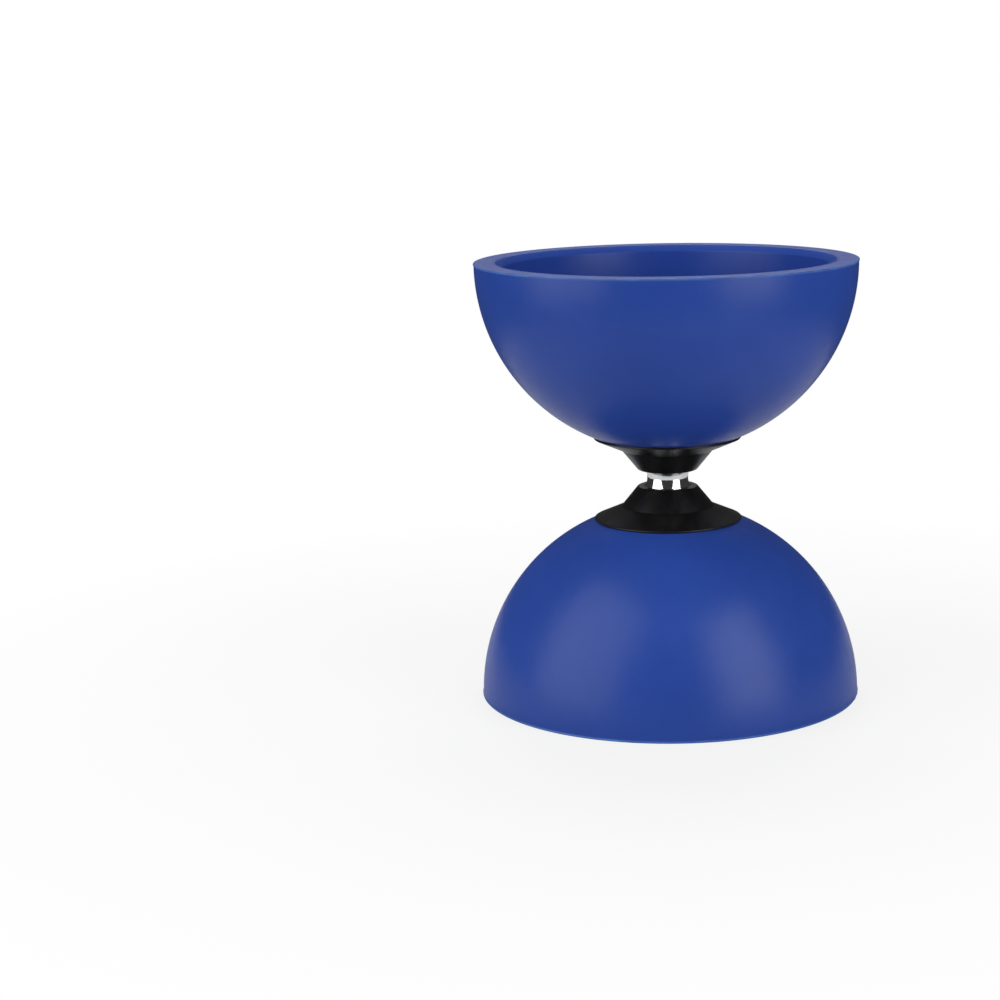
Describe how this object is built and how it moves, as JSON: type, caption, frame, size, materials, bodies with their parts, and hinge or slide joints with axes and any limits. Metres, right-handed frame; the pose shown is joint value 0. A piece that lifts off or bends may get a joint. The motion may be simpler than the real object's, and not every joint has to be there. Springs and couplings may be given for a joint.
{
  "type": "diabolo",
  "caption": "Fixed-axle juggling diabolo: hemispherical rubber cups back to back on plastic cone hubs and a steel axle with a string groove.",
  "frame": {"origin": "middle of the axle, on the spin axis", "axes": "+Z along the spin axis, towards the upper cup; +X to the right when seen from the front"},
  "size_m": [0.125, 0.125, 0.1436],
  "materials": {
    "cup_rubber": "satin blue moulded rubber",
    "hub_plastic": "satin-gloss black moulded plastic",
    "axle_steel": "polished",
    "zinc_steel": "bright zinc plated",
    "spring_steel": "dull spring steel"
  },
  "bodies": {
    "core": {"axle": "axle_steel", "upper_cup": "cup_rubber", "upper_hub": "hub_plastic", "upper_clamp_washer": "hub_plastic", "lower_cup": "cup_rubber", "lower_hub": "hub_plastic", "lower_clamp_washer": "hub_plastic"},
    "upper_washers": {"upper_flat_washer": "zinc_steel", "upper_lock_washer": "spring_steel"},
    "upper_screw": {"upper_bolt": "zinc_steel"},
    "lower_washers": {"lower_flat_washer": "zinc_steel", "lower_lock_washer": "spring_steel"},
    "lower_screw": {"lower_bolt": "zinc_steel"}
  },
  "joints": [
    {"name": "upper_withdraw", "type": "slide", "parent": "core", "child": "upper_washers", "axis": [0, 0, 1], "range_m": [0, 0.0101]},
    {"name": "upper_turn", "type": "hinge", "parent": "upper_washers", "child": "upper_screw", "pos_m": [0, 0, 0.02185], "axis": [0, 0, 1], "range_deg": [0, 2880]},
    {"name": "lower_withdraw", "type": "slide", "parent": "core", "child": "lower_washers", "axis": [0, 0, -1], "range_m": [0, 0.0101]},
    {"name": "lower_turn", "type": "hinge", "parent": "lower_washers", "child": "lower_screw", "pos_m": [0, 0, -0.02185], "axis": [0, 0, -1], "range_deg": [0, 2880]}
  ],
  "couplings": [
    {"joint": "upper_withdraw", "follows": "upper_turn", "m_per_rad": 0.00019894},
    {"joint": "lower_withdraw", "follows": "lower_turn", "m_per_rad": 0.00019894}
  ]
}
